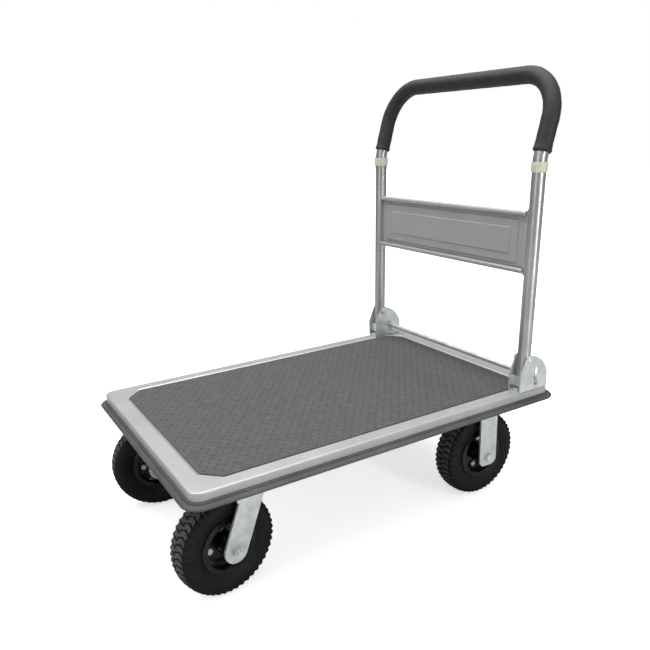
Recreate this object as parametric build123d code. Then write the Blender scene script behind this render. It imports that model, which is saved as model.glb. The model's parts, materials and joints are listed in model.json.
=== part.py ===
from build123d import *
import os
from math import cos, radians, sin, sqrt, tan

# Folding platform cart. Millimetres, +Z up, +X towards the handle, +Y to the right of a user
# who faces the load from the handle end. Z = 0 is the floor, and the origin is under the middle
# of the whole cart.

# ---------------------------------------------------------------- driving dimensions
DECK_LENGTH = 900.0
DECK_WIDTH = 600.0
DECK_TOP = 280.0
FRONT_OVERHANG = 8.4           # the front wheels reach this far past the bumper
BUMPER_OUT = 15.0
DECK_X = FRONT_OVERHANG / 2    # middle of the deck, so that the whole cart is centred on X = 0
FRONT_X = DECK_X - DECK_LENGTH / 2

SHEET = 1.5
TRAY_CORNER_R = 24.0
TRAY_EDGE_R = 3.0
TRAY_DEPTH = 30.0
TRAY_LIP = 12.0
RIM_VISIBLE = 16.8

MAT_FRONT_BORDER = 42.0
MAT_REAR_BORDER = 41.0
MAT_SIDE_BORDER = 37.0
MAT_CHAMFER = 35.0
MAT_THICK = 3.0
RECESS_SLOPE_OUT = 6.5
RECESS_FLOOR_OUT = 1.0

CHANNEL_HALF_WIDTH = 70.0
CHANNEL_HEIGHT = 20.5
CHANNEL_SHEET = 2.0
CHANNEL_LIP = 12.0
CHANNEL_HALF_LENGTH = 262.0
STIFFENER_Y = 120.0
STIFFENER_HALF_WIDTH = 22.0

WHEEL_R = 107.5
TYRE_HALF_WIDTH = 30.0
WHEEL_Y = 200.0
REAR_WHEEL_X = FRONT_X + 757.0
SWIVEL_X = FRONT_X + 127.8
SWIVEL_TRAIL = 45.0
SWIVEL_YAW = 9.2
FORK_LEAN = 23.5
FORK_OUTER = 49.0
FORK_SHEET = 5.0
FORK_WIDTH = 52.0
FORK_FOOT = 22.0
FORK_CROWN_TOP = 238.7
FORK_BEND_R = 32.0

PLATE_LENGTH = 135.0
PLATE_WIDTH = 110.0
PLATE_THICK = 4.0
PLATE_BOLT_X = 52.5
PLATE_BOLT_Y = 40.0
RACE_BOTTOM = 239.0

TUBE_Y = 285.2
TUBE_R = 15.0
TUBE_BORE_R = 13.0
PIVOT_X = FRONT_X + 820.5
PIVOT_Z = DECK_TOP + 76.0
RAKE = 1.35
TUBE_END_Z = DECK_TOP + 34.5
BEND_Z = DECK_TOP + 520.0
GRIP_Z = DECK_TOP + 691.0
UPPER_LEAN = 16.0
LOWER_BEND_R = 60.0
TOP_BEND_R = 95.0
GRIP_R = 19.5
GRIP_START_Z = DECK_TOP + 533.0
RING_Z = DECK_TOP + 503.0
RING_HEIGHT = 21.0
RING_R = 17.8

PANEL_LOW = DECK_TOP + 274.0
PANEL_HIGH = DECK_TOP + 410.5
PANEL_FORWARD = 3.5
PANEL_ROLL_R = 5.5
PANEL_SHEET = 1.5

EAR_OUTER = 303.7
EAR_INNER = 266.7
EAR_SHEET = 3.0
BRACKET_START = 793.5
BRACKET_END = 881.5
ROD_X = FRONT_X + 845.0
ROD_Z = DECK_TOP + 31.0
ROD_R = 6.0
ROD_TRAVEL = 13.0
ROD_HALF_LENGTH = 310.5

AXLE_R = 6.0
SLEEVE_R = 7.5
RUNNING_FIT = 0.05
PIVOT_R = 4.0

BRACKET_BOLT_R = 4.0
BRACKET_BOLT_XS = (801.0, 863.0)
CASTER_BOLT_R = 5.0
KINGPIN_R = 6.0
KINGPIN_HEAD_R = 11.0
RACE_R = 33.0
CROWN_REACH = 34.0
FRAME_OUTSET = 1.2
FRAME_HALF = 243.5
FRAME_LOW = 20.0
FRAME_HIGH = 116.0
FIELD_HALF = 220.5
FIELD_LOW = 39.5
FIELD_HIGH = 97.5
EAR_ARC_X = 816.0
EAR_ARC_Z = 21.0
EAR_ARC_R = 67.0
EAR_TIP_X = 813.6
EAR_SHOULDER = 43.0
STOP_X = 804.2
STOP_LOW = 14.0
STOP_HIGH = 36.5
OUTER_SLOT_TOP = 55.0
HUB_R = 22.0
HUB_HALF = 38.0
BEARING_R = 17.5
BEARING_WIDTH = 11.0
RIM_SHEET = 2.0
RIM_BOLT_R = 3.5
RIM_BOLT_CIRCLE = 35.0
WEB_R = 45.0
SEAT_R = 52.0
FLANGE_R = 61.0
FLANGE_Y = 26.0
BEAD_TOP = 63.0
TUBE_RING_R = 76.5
TUBE_SECTION_R = 15.5
VALVE_R = 4.0
VALVE_INNER_R = 37.0
VALVE_Y = 9.0
REAR_BOLT_ANGLE = 79.5
FRONT_BOLT_ANGLE = 101.6
VALVE_ANGLE = 42.0

TINY = 0.05                    # gap between pieces that are only pushed together


# ---------------------------------------------------------------- small helpers
def deck_x(distance):
    """X of a point this far behind the front edge of the steel deck."""
    return FRONT_X + distance


def tube_x(z):
    """X of the centre of the raked lower tube at this height."""
    return PIVOT_X + (z - PIVOT_Z) * tan(radians(RAKE))


def upper_x(z):
    """X of the centre of the tube above the bend."""
    return tube_x(BEND_Z) + (z - BEND_Z) * tan(radians(UPPER_LEAN))


def box(x0, x1, y0, y1, z0, z1):
    return Pos((x0 + x1) / 2, (y0 + y1) / 2, (z0 + z1) / 2) * Box(x1 - x0, y1 - y0, z1 - z0)


def rod_y(x, z, r, y0, y1):
    """Cylinder along Y."""
    return Pos(x, (y0 + y1) / 2, z) * Rot(90, 0, 0) * Cylinder(r, y1 - y0)


def rod_z(x, y, r, z0, z1):
    """Cylinder along Z."""
    return Pos(x, y, (z0 + z1) / 2) * Cylinder(r, z1 - z0)


def hexagon_z(x, y, flats, z0, z1):
    """Hexagonal prism along Z, measured across its flats."""
    outline = RegularPolygon(flats / 2, 6, major_radius=False)
    return Pos(x, y, z0) * extrude(outline, z1 - z0)


def hexagon_y(x, z, flats, y0, y1):
    """Hexagonal prism along Y, measured across its flats."""
    outline = RegularPolygon(flats / 2, 6, major_radius=False)
    return Pos(x, y1, z) * Rot(90, 0, 0) * extrude(outline, y1 - y0)


def spin_y(points):
    """Ring about the Y axis from (radius, y) points."""
    face = make_face(Polyline(*[(r, y, 0) for r, y in points], close=True))
    return revolve(face, Axis.Y)


def mirrored(solids):
    return [mirror(s, Plane.XZ) for s in solids]


def both_sides(solids):
    return solids + mirrored(solids)


def save(name, solids):
    shapes = []
    for s in solids:
        shapes.extend(s.solids())
    export_step(Compound(children=shapes), f"parts/{name}.step")


# ---------------------------------------------------------------- deck
def rounded_plate(grow, r, z0, z1):
    """Plate of the deck's outline, grown outward by this much."""
    outline = RectangleRounded(DECK_LENGTH + 2 * grow, DECK_WIDTH + 2 * grow, r)
    return Pos(DECK_X, 0, z0) * extrude(outline, z1 - z0)


def mat_outline(grow, z):
    """Eight-sided outline of the mat, grown outward by this much."""
    x0 = deck_x(MAT_FRONT_BORDER) - grow
    x1 = deck_x(DECK_LENGTH - MAT_REAR_BORDER) + grow
    y1 = DECK_WIDTH / 2 - MAT_SIDE_BORDER + grow
    c = MAT_CHAMFER + grow * (2 - sqrt(2))
    points = [(x0 + c, -y1), (x1 - c, -y1), (x1, c - y1), (x1, y1 - c),
              (x1 - c, y1), (x0 + c, y1), (x0, y1 - c), (x0, c - y1)]
    return make_face(Polyline(*[(x, y, z) for x, y in points], close=True))


def recess(z_top, z_bottom, grow):
    """Block with sloping sides: the shape that the press pushes down for the mat."""
    top = mat_outline(RECESS_SLOPE_OUT + grow, z_top)
    bottom = mat_outline(RECESS_FLOOR_OUT + grow, z_bottom)
    return loft([top, bottom], ruled=True)


def deck_tray(bolt_places):
    outer = rounded_plate(0, TRAY_CORNER_R, DECK_TOP - TRAY_DEPTH, DECK_TOP)
    outer = fillet(outer.faces().sort_by(Axis.Z)[-1].edges(), TRAY_EDGE_R)
    inner_r = TRAY_CORNER_R - SHEET
    cavity = rounded_plate(-SHEET, inner_r, DECK_TOP - TRAY_DEPTH + SHEET, DECK_TOP - SHEET)
    mouth = rounded_plate(-TRAY_LIP, TRAY_CORNER_R - TRAY_LIP,
                          DECK_TOP - TRAY_DEPTH - 1, DECK_TOP - TRAY_DEPTH + 2 * SHEET)
    tray = outer - cavity - mouth
    tray = tray + recess(DECK_TOP - SHEET, DECK_TOP - MAT_THICK - SHEET, SHEET)
    tray = tray - recess(DECK_TOP, DECK_TOP - MAT_THICK, 0)
    for x, y in bolt_places:
        tray = tray - rod_z(x, y, BRACKET_BOLT_R + 0.2, DECK_TOP - 6, DECK_TOP + 6)
    return tray


def bumper():
    """Strip with a small upper rib, a groove and a fat lower rib, all round the deck."""
    top = DECK_TOP - RIM_VISIBLE - 0.4
    low = DECK_TOP - TRAY_DEPTH
    y0 = DECK_WIDTH / 2
    profile = [
        Line((0, y0, low), (0, y0, top)),
        Line((0, y0, top), (0, y0 + 2.4, top - 0.3)),
        ThreePointArc((0, y0 + 2.4, top - 0.3), (0, y0 + 4.6, top - 1.4), (0, y0 + 5.2, top - 3.6)),
        ThreePointArc((0, y0 + 5.2, top - 3.6), (0, y0 + 11.5, top - 5.2),
                      (0, y0 + BUMPER_OUT, low + 4.4)),
        TangentArc((0, y0 + BUMPER_OUT, low + 4.4), (0, y0 + 11.5, low), tangent=(0, 0, -1)),
        Line((0, y0 + 11.5, low), (0, y0, low)),
    ]
    face = Pos(DECK_X, 0, 0) * make_face(profile)
    straight_x = DECK_LENGTH / 2 - TRAY_CORNER_R
    straight_y = DECK_WIDTH / 2 - TRAY_CORNER_R
    side = extrude(face, straight_x, both=True)
    end_face = Pos(DECK_X + DECK_LENGTH / 2 - y0, 0, 0) * Rot(0, 0, -90) * make_face(profile)
    end = extrude(end_face, straight_y, both=True)
    corner_face = Pos(DECK_X + straight_x, 0, 0) * make_face(profile)
    corner_axis = Axis((DECK_X + straight_x, straight_y, 0), (0, 0, -1))
    corner = revolve(corner_face, corner_axis, 90)
    rear = end + corner + mirror(corner, Plane.XZ)
    middle = Plane((DECK_X, 0, 0), x_dir=(0, 1, 0), z_dir=(1, 0, 0))
    return side + mirror(side, Plane.XZ) + rear + mirror(rear, middle)


def hat_channel(x, half_width, y0, y1, z_top):
    """Channel open at the top, along Y, with its lips turned outward."""
    z0 = z_top - CHANNEL_HEIGHT
    reach = half_width + CHANNEL_LIP
    body = box(x - half_width, x + half_width, y0, y1, z0, z_top)
    body = body - box(x - half_width + CHANNEL_SHEET, x + half_width - CHANNEL_SHEET,
                      y0 - 1, y1 + 1, z0 + CHANNEL_SHEET, z_top + 1)
    lips = box(x - reach, x - half_width, y0, y1, z_top - CHANNEL_SHEET, z_top)
    lips = lips + box(x + half_width, x + reach, y0, y1, z_top - CHANNEL_SHEET, z_top)
    return body + lips


def plate_bolt_places(x):
    return [(x + i * PLATE_BOLT_X, j * PLATE_BOLT_Y + k * WHEEL_Y)
            for i in (-1, 1) for j in (-1, 1) for k in (-1, 1)]


def deck_channels():
    z_top = DECK_TOP - MAT_THICK - SHEET
    front = hat_channel(SWIVEL_X, CHANNEL_HALF_WIDTH, -CHANNEL_HALF_LENGTH, CHANNEL_HALF_LENGTH, z_top)
    rear = hat_channel(REAR_WHEEL_X, CHANNEL_HALF_WIDTH, -CHANNEL_HALF_LENGTH, CHANNEL_HALF_LENGTH, z_top)
    for x, y in plate_bolt_places(SWIVEL_X):
        front = front - rod_z(x, y, CASTER_BOLT_R + 0.5, z_top - 30, z_top - 10)
    for x, y in plate_bolt_places(REAR_WHEEL_X):
        rear = rear - rod_z(x, y, CASTER_BOLT_R + 0.5, z_top - 30, z_top - 10)
    for side in (-1, 1):
        front = front - rod_z(SWIVEL_X, side * WHEEL_Y, KINGPIN_HEAD_R + 1, z_top - 30, z_top - 10)
    gap = CHANNEL_HALF_WIDTH + CHANNEL_LIP + 4
    length = REAR_WHEEL_X - SWIVEL_X - 2 * gap
    stiffener = hat_channel(0, STIFFENER_HALF_WIDTH, -length / 2, length / 2, z_top)
    middle = (REAR_WHEEL_X + SWIVEL_X) / 2
    left = Pos(middle, -STIFFENER_Y, 0) * Rot(0, 0, 90) * stiffener
    right = Pos(middle, STIFFENER_Y, 0) * Rot(0, 0, 90) * stiffener
    return [front, rear, left, right]


# ---------------------------------------------------------------- handle
def handle_path(start_z, start_x, low_bends):
    """One side's tube centreline, over the top, and down the other side."""
    bottom = [(start_x, start_z)]
    radii = []
    if low_bends:
        bottom.append((tube_x(BEND_Z), BEND_Z))
        radii.append(LOWER_BEND_R)
    top = (upper_x(GRIP_Z), GRIP_Z)
    radii.append(TOP_BEND_R)
    left = [(x, -TUBE_Y, z) for x, z in bottom + [top]]
    right = [(x, TUBE_Y, z) for x, z in reversed(bottom + [top])]
    return FilletPolyline(*(left + right), radius=radii + radii[::-1])


def tube_along(path, r_out, r_in):
    start = Plane(origin=path @ 0, z_dir=path % 0)
    outer = sweep(start * Circle(r_out), path=path)
    return outer - sweep(start * Circle(r_in), path=path)


def handle_tube():
    low = TUBE_END_Z - 12
    path = handle_path(low, tube_x(low), True)
    tube = tube_along(path, TUBE_R, TUBE_BORE_R)
    for side in (-1, 1):
        y = side * TUBE_Y
        tube = tube - box(PIVOT_X - 40, PIVOT_X + 40, y - 25, y + 25, low - 20, TUBE_END_Z)
        tube = tube - rod_y(PIVOT_X, PIVOT_Z, PIVOT_R + RUNNING_FIT, y - 25, y + 25)
    return tube


def handle_grip():
    path = handle_path(GRIP_START_Z, upper_x(GRIP_START_Z), False)
    return tube_along(path, GRIP_R, TUBE_R + TINY)


def handle_rings():
    """Slightly barrel-shaped collars."""
    half = RING_HEIGHT / 2
    profile = [
        Line((TUBE_R + TINY, 0, -half), (RING_R - 0.5, 0, -half)),
        ThreePointArc((RING_R - 0.5, 0, -half), (RING_R, 0, 0), (RING_R - 0.5, 0, half)),
        Line((RING_R - 0.5, 0, half), (TUBE_R + TINY, 0, half)),
        Line((TUBE_R + TINY, 0, half), (TUBE_R + TINY, 0, -half)),
    ]
    ring = Rot(0, RAKE, 0) * revolve(make_face(profile), Axis.Z)
    return both_sides([Pos(tube_x(RING_Z), -TUBE_Y, RING_Z) * ring])


def handle_panel():
    """Sheet with both long edges rolled forward, a raised frame and a raised centre field."""
    touch = PANEL_FORWARD - PANEL_SHEET / 2
    half_y = TUBE_Y - sqrt(TUBE_R ** 2 - touch ** 2) - 2 * TINY
    roll = PANEL_ROLL_R
    sheet = PANEL_SHEET
    height = PANEL_HIGH - PANEL_LOW
    plate = box(-sheet / 2, sheet / 2, -half_y, half_y, roll, height - roll)
    frame = FRAME_OUTSET
    raised = box(-frame - sheet / 2, sheet / 2, -FRAME_HALF, FRAME_HALF, FRAME_LOW, FRAME_HIGH)
    hollow = box(sheet / 2 - frame, sheet, -FRAME_HALF + sheet, FRAME_HALF - sheet,
                 FRAME_LOW + sheet, FRAME_HIGH - sheet)
    field = box(-2 * frame - sheet / 2, 0, -FIELD_HALF, FIELD_HALF, FIELD_LOW, FIELD_HIGH)
    dent = box(sheet / 2 - 2 * frame, sheet, -FIELD_HALF + sheet, FIELD_HALF - sheet,
               FIELD_LOW + sheet, FIELD_HIGH - sheet)
    panel = plate + raised + field - hollow - dent
    centre_x = sheet / 2 - roll
    for z, flip in ((roll, 1), (height - roll, -1)):
        curl = rod_y(centre_x, z, roll, -half_y, half_y)
        curl = curl - rod_y(centre_x, z, roll - sheet, -half_y - 1, half_y + 1)
        mouth_z0 = min(z, z + flip * roll)
        mouth_z1 = max(z, z + flip * roll)
        curl = curl - box(centre_x - roll - 1, sheet / 2 - sheet, -half_y - 1, half_y + 1,
                          mouth_z0 + (1.5 if flip > 0 else 0), mouth_z1 - (0 if flip > 0 else 1.5))
        panel = panel + curl
    x = tube_x(PANEL_LOW) - PANEL_FORWARD
    return Pos(x, 0, PANEL_LOW) * Rot(0, RAKE, 0) * panel


# ---------------------------------------------------------------- brackets and fold lock
def slot_cut(x, z0, z1, r, y0, y1):
    cut = rod_y(x, z0, r, y0, y1) + rod_y(x, z1, r, y0, y1)
    return cut + box(x - r, x + r, y0, y1, z0, z1)


def bracket():
    """Right-hand bracket: two ears on a base, with a stop plate for the tube's foot."""
    x0 = deck_x(BRACKET_START)
    x1 = deck_x(BRACKET_END)
    arc_x = deck_x(EAR_ARC_X)
    arc_z = DECK_TOP + EAR_ARC_Z
    tip_x = deck_x(EAR_TIP_X)
    tip = (tip_x, arc_z + sqrt(EAR_ARC_R ** 2 - (tip_x - arc_x) ** 2))
    back = (x1, arc_z + sqrt(EAR_ARC_R ** 2 - (x1 - arc_x) ** 2))
    middle = (arc_x + EAR_ARC_R * sin(radians(40)), arc_z + EAR_ARC_R * cos(radians(40)))
    foot = DECK_TOP
    shoulder = DECK_TOP + EAR_SHOULDER
    edges = [
        Line((x0, foot), (x0, shoulder)),
        Line((x0, shoulder), tip),
        ThreePointArc(tip, middle, back),
        Line(back, (x1, foot)),
        Line((x1, foot), (x0, foot)),
    ]
    ear = Rot(90, 0, 0) * extrude(make_face(edges), -(EAR_OUTER + 1))
    corner = [e for e in ear.edges() if e.length > 20 and abs(e.center().X - tip[0]) < 0.01
              and abs(e.center().Z - tip[1]) < 0.01]
    ear = fillet(corner, 5)
    block = box(x0, x1, EAR_INNER, EAR_OUTER, DECK_TOP, DECK_TOP + 120)
    bend = [e for e in block.edges() if abs(e.center().Z - DECK_TOP) < 0.01
            and abs(e.length - (x1 - x0)) < 0.01]
    block = fillet(bend, 4)
    hollow = box(x0 - 1, x1 + 1, EAR_INNER + EAR_SHEET, EAR_OUTER - EAR_SHEET,
                 DECK_TOP + EAR_SHEET, DECK_TOP + 130)
    part = (block & ear) - hollow
    stop = box(deck_x(STOP_X) - EAR_SHEET, deck_x(STOP_X), EAR_INNER + 1, EAR_OUTER - 1,
               DECK_TOP + STOP_LOW, DECK_TOP + STOP_HIGH)
    part = part + stop
    part = part - rod_y(PIVOT_X, PIVOT_Z, PIVOT_R + 0.1, EAR_INNER - 5, EAR_OUTER + 5)
    slot_r = ROD_R + 0.3
    low = ROD_Z - ROD_TRAVEL
    part = part - slot_cut(ROD_X, low, ROD_Z, slot_r, EAR_INNER - 1, EAR_INNER + EAR_SHEET + 1)
    part = part - slot_cut(ROD_X, low, DECK_TOP + OUTER_SLOT_TOP - slot_r, slot_r,
                           EAR_OUTER - EAR_SHEET - 1, EAR_OUTER + 1)
    for x in BRACKET_BOLT_XS:
        part = part - rod_z(deck_x(x), TUBE_Y, BRACKET_BOLT_R + 0.2, DECK_TOP - 1, DECK_TOP + 5)
    return part


def hex_bolt_down(x, y, seat, r, length, flats, head):
    """Bolt with its head above the seat and its shank below."""
    return hexagon_z(x, y, flats, seat, seat + head) + rod_z(x, y, r, seat - length, seat + 1)


def bracket_bolts():
    seat = DECK_TOP + EAR_SHEET
    return [hex_bolt_down(deck_x(x), side * TUBE_Y, seat, BRACKET_BOLT_R, 18, 13, 5.3)
            for x in BRACKET_BOLT_XS for side in (-1, 1)]


def bracket_nuts():
    top = DECK_TOP - SHEET
    nuts = []
    for x in BRACKET_BOLT_XS:
        for side in (-1, 1):
            nut = hexagon_z(deck_x(x), side * TUBE_Y, 13, top - 8.2, top - 1.6)
            nut = nut + rod_z(deck_x(x), side * TUBE_Y, 8.0, top - 1.6, top)
            nuts.append(nut - rod_z(deck_x(x), side * TUBE_Y, BRACKET_BOLT_R + TINY, top - 20, top + 1))
    return nuts


def pivot_bolts():
    """Domed head outside the outer ear, shank through both ears and the tube."""
    y_out = EAR_OUTER
    dome_h = 4.0
    ball_r = (7.4 ** 2 + dome_h ** 2) / (2 * dome_h)
    dome = Pos(PIVOT_X, y_out + dome_h - ball_r, PIVOT_Z) * Sphere(ball_r)
    dome = dome & box(PIVOT_X - 20, PIVOT_X + 20, y_out, y_out + 20, PIVOT_Z - 20, PIVOT_Z + 20)
    shank = rod_y(PIVOT_X, PIVOT_Z, PIVOT_R, EAR_INNER - 9.5, y_out + 1)
    return both_sides([dome + shank])


def pivot_nuts():
    nut = hexagon_y(PIVOT_X, PIVOT_Z, 13, EAR_INNER - 7.5, EAR_INNER)
    nut = nut - rod_y(PIVOT_X, PIVOT_Z, PIVOT_R + TINY, EAR_INNER - 20, EAR_INNER + 1)
    return both_sides([nut])


def clip_places():
    return [side * y for side in (-1, 1) for y in (EAR_OUTER + 3.4, EAR_INNER - 3.4)]


def lock_rod():
    rod = rod_y(ROD_X, ROD_Z, ROD_R, -ROD_HALF_LENGTH, ROD_HALF_LENGTH)
    ends = [e for e in rod.edges() if e.geom_type == GeomType.CIRCLE]
    rod = chamfer(ends, 1)
    for y in clip_places():
        rod = rod - rod_z(ROD_X, y, 1.5, ROD_Z - 20, ROD_Z + 20)
    return rod


def lock_rod_clips():
    """Split pins through the rod, with a loop on top and one leg bent over, and thrust washers."""
    pieces = []
    for y in clip_places():
        pin = rod_z(ROD_X, y, 1.4, ROD_Z - 12.5, ROD_Z + ROD_R + 1.5)
        loop = Pos(ROD_X, y, ROD_Z + ROD_R + 3.4) * Rot(90, 0, 0) * Torus(2.4, 0.9)
        leg = Pos(ROD_X + 2.6, y, ROD_Z - 10.2) * Rot(0, -38, 0) * Cylinder(1.0, 7)
        pieces.append(pin + loop + leg)
    for side in (-1, 1):
        y = side * (EAR_INNER - 0.9)
        washer = rod_y(ROD_X, ROD_Z, 10, y - 0.7, y + 0.7)
        pieces.append(washer - rod_y(ROD_X, ROD_Z, ROD_R + TINY, y - 5, y + 5))
    return pieces


def lock_springs():
    """Round-wire springs that stand on the bracket bases and push the rod up."""
    wire_r = 0.7
    low = DECK_TOP + EAR_SHEET + wire_r + TINY
    high = ROD_Z - ROD_R - wire_r - TINY
    coil_r = 4.8
    turns = 5.5
    coil = Helix(pitch=(high - low) / turns, height=high - low, radius=coil_r)
    section = Plane(origin=coil @ 0, z_dir=coil % 0) * Circle(wire_r)
    spring = sweep(section, path=coil, is_frenet=True)
    return both_sides([Pos(ROD_X, TUBE_Y, low) * spring])


# ---------------------------------------------------------------- casters
def caster_mount_bolts():
    """Heads under the plates, shanks up through the channel webs."""
    solids = []
    seat = DECK_TOP - MAT_THICK - SHEET - CHANNEL_HEIGHT - PLATE_THICK
    for centre in (SWIVEL_X, REAR_WHEEL_X):
        for x, y in plate_bolt_places(centre):
            head = hexagon_z(x, y, 16, seat - 6.4, seat)
            solids.append(head + rod_z(x, y, CASTER_BOLT_R, seat - 1, seat + 20))
    return solids


def caster_mount_nuts():
    solids = []
    seat = DECK_TOP - MAT_THICK - SHEET - CHANNEL_HEIGHT + CHANNEL_SHEET
    for centre in (SWIVEL_X, REAR_WHEEL_X):
        for x, y in plate_bolt_places(centre):
            nut = hexagon_z(x, y, 16, seat, seat + 8.4)
            solids.append(nut - rod_z(x, y, CASTER_BOLT_R + TINY, seat - 1, seat + 20))
    return solids


def top_plate(x, y):
    """Drilled caster plate, as wide as the real one."""
    top = DECK_TOP - MAT_THICK - SHEET - CHANNEL_HEIGHT
    plate = extrude(RectangleRounded(PLATE_LENGTH, PLATE_WIDTH, 8), PLATE_THICK)
    for i in (-1, 1):
        for j in (-1, 1):
            plate = plate - rod_z(i * PLATE_BOLT_X, j * PLATE_BOLT_Y, CASTER_BOLT_R + 0.5, -1, 10)
    return Pos(x, y, top - PLATE_THICK) * plate


def rear_fork(side):
    plate = top_plate(REAR_WHEEL_X, side * WHEEL_Y)
    low = WHEEL_R - FORK_FOOT
    high = DECK_TOP - MAT_THICK - SHEET - CHANNEL_HEIGHT - PLATE_THICK
    fork = plate
    for j in (-1, 1):
        y0 = side * WHEEL_Y + j * (FORK_OUTER - FORK_SHEET / 2) - FORK_SHEET / 2
        leg = box(REAR_WHEEL_X - FORK_WIDTH / 2, REAR_WHEEL_X + FORK_WIDTH / 2,
                  y0, y0 + FORK_SHEET, low, high + 1)
        corners = [e for e in leg.edges() if abs(e.center().Z - low) < 0.01
                   and abs(e.length - FORK_SHEET) < 0.01]
        fork = fork + fillet(corners, 16)
    return fork - rod_y(REAR_WHEEL_X, WHEEL_R, AXLE_R + 0.1, side * WHEEL_Y - 60, side * WHEEL_Y + 60)


def place_swivel(side):
    """Moves a part drawn about its own swivel axis to its caster, wheel trailing forward."""
    return Pos(SWIVEL_X, side * WHEEL_Y, 0) * Rot(0, 0, -side * SWIVEL_YAW)


def swivel_fork(side):
    """Bent-strip fork: crown under the race, two legs that lean to the wheel's centre."""
    reach = 90
    outer_u = box(-reach, reach, -FORK_OUTER, FORK_OUTER, 40, FORK_CROWN_TOP)
    inner = FORK_OUTER - FORK_SHEET
    inner_u = box(-reach - 1, reach + 1, -inner, inner, 30, FORK_CROWN_TOP - FORK_SHEET)
    outer_edges = [e for e in outer_u.edges() if abs(e.center().Z - FORK_CROWN_TOP) < 0.01
                   and abs(e.length - 2 * reach) < 0.01]
    inner_edges = [e for e in inner_u.edges() if abs(e.center().Z - FORK_CROWN_TOP + FORK_SHEET) < 0.01
                   and abs(e.length - 2 * reach - 2) < 0.01]
    strip = fillet(outer_edges, FORK_BEND_R) - fillet(inner_edges, FORK_BEND_R - FORK_SHEET)
    half = FORK_WIDTH / 2
    length = 220
    leg = Pos(-SWIVEL_TRAIL, 0, WHEEL_R) * Rot(0, FORK_LEAN, 0) * box(-half, half, -80, 80, 0, length)
    foot = rod_y(-SWIVEL_TRAIL, WHEEL_R, half, -80, 80)
    crown = box(-CROWN_REACH, CROWN_REACH, -80, 80, FORK_CROWN_TOP - FORK_BEND_R, FORK_CROWN_TOP + 5)
    side_shape = leg + foot + crown
    fork = strip & side_shape
    fork = fork - rod_y(-SWIVEL_TRAIL, WHEEL_R, AXLE_R + 0.1, -80, 80)
    fork = fork - rod_z(0, 0, KINGPIN_R + RUNNING_FIT, 200, 260)
    return place_swivel(side) * fork


def swivel_bearings():
    """Two pressed race cups with the ball track between them."""
    top = DECK_TOP - MAT_THICK - SHEET - CHANNEL_HEIGHT - PLATE_THICK
    r_in = KINGPIN_R + TINY
    profile = [
        Line((r_in, 0, RACE_BOTTOM), (RACE_R - 3, 0, RACE_BOTTOM)),
        ThreePointArc((RACE_R - 3, 0, RACE_BOTTOM), (RACE_R - 0.5, 0, RACE_BOTTOM + 1.6),
                      (RACE_R - 2, 0, RACE_BOTTOM + 4.4)),
        Line((RACE_R - 2, 0, RACE_BOTTOM + 4.4), (RACE_R, 0, RACE_BOTTOM + 5.4)),
        Line((RACE_R, 0, RACE_BOTTOM + 5.4), (RACE_R, 0, top)),
        Line((RACE_R, 0, top), (r_in, 0, top)),
        Line((r_in, 0, top), (r_in, 0, RACE_BOTTOM)),
    ]
    race = revolve(make_face(profile), Axis.Z)
    return [Pos(SWIVEL_X, side * WHEEL_Y, 0) * race for side in (-1, 1)]


def kingpins():
    """Riveted pin: broad head under the fork crown, upset head above the plate."""
    solids = []
    plate_top = DECK_TOP - MAT_THICK - SHEET - CHANNEL_HEIGHT
    crown_low = FORK_CROWN_TOP - FORK_SHEET
    for side in (-1, 1):
        pin = rod_z(0, 0, KINGPIN_R, crown_low - 5, plate_top + 2)
        pin = pin + rod_z(0, 0, KINGPIN_HEAD_R, crown_low - 6, crown_low - 0.3)
        pin = pin + rod_z(0, 0, KINGPIN_HEAD_R, plate_top, plate_top + 4)
        solids.append(Pos(SWIVEL_X, side * WHEEL_Y, 0) * pin)
    return solids


def front_caster_plates():
    solids = []
    for side in (-1, 1):
        plate = top_plate(SWIVEL_X, side * WHEEL_Y)
        solids.append(plate - rod_z(SWIVEL_X, side * WHEEL_Y, KINGPIN_R + TINY, 240, 260))
    return solids


def axle_bolt(outward):
    """Bolt drawn about the origin; its head is on the side that outward (-1 or 1) names."""
    bolt = hexagon_y(0, 0, 18, FORK_OUTER, FORK_OUTER + 7.5)
    bolt = bolt + rod_y(0, 0, AXLE_R, -FORK_OUTER - 15, FORK_OUTER + 1)
    return bolt if outward > 0 else mirror(bolt, Plane.XZ)


def axle_nut(outward):
    """Locking nut and washer, on the side opposite the bolt's head."""
    washer = rod_y(0, 0, 11.5, -FORK_OUTER - 2, -FORK_OUTER)
    nut = hexagon_y(0, 0, 18, -FORK_OUTER - 11, -FORK_OUTER - 2)
    hole = rod_y(0, 0, AXLE_R + TINY, -FORK_OUTER - 20, -FORK_OUTER + 2)
    pieces = [washer - hole, nut - hole]
    return pieces if outward > 0 else mirrored(pieces)


def axle_sleeve():
    inner = FORK_OUTER - FORK_SHEET
    hole = rod_y(0, 0, AXLE_R + 0.1, -60, 60)
    sleeve = rod_y(0, 0, SLEEVE_R, -inner + TINY, inner - TINY) - hole
    spacer = rod_y(0, 0, 10, HUB_HALF + 0.4, inner - 0.4) - rod_y(0, 0, SLEEVE_R + TINY, 0, 60)
    return [sleeve, spacer, mirror(spacer, Plane.XZ)]


def place_wheel(end, side):
    """Puts a part drawn about the origin at a wheel's centre."""
    if end == "rear":
        return Pos(REAR_WHEEL_X, side * WHEEL_Y, WHEEL_R)
    return place_swivel(side) * Pos(-SWIVEL_TRAIL, 0, WHEEL_R)


def placed(end, side, solids):
    return [place_wheel(end, side) * s for s in solids]


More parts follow.
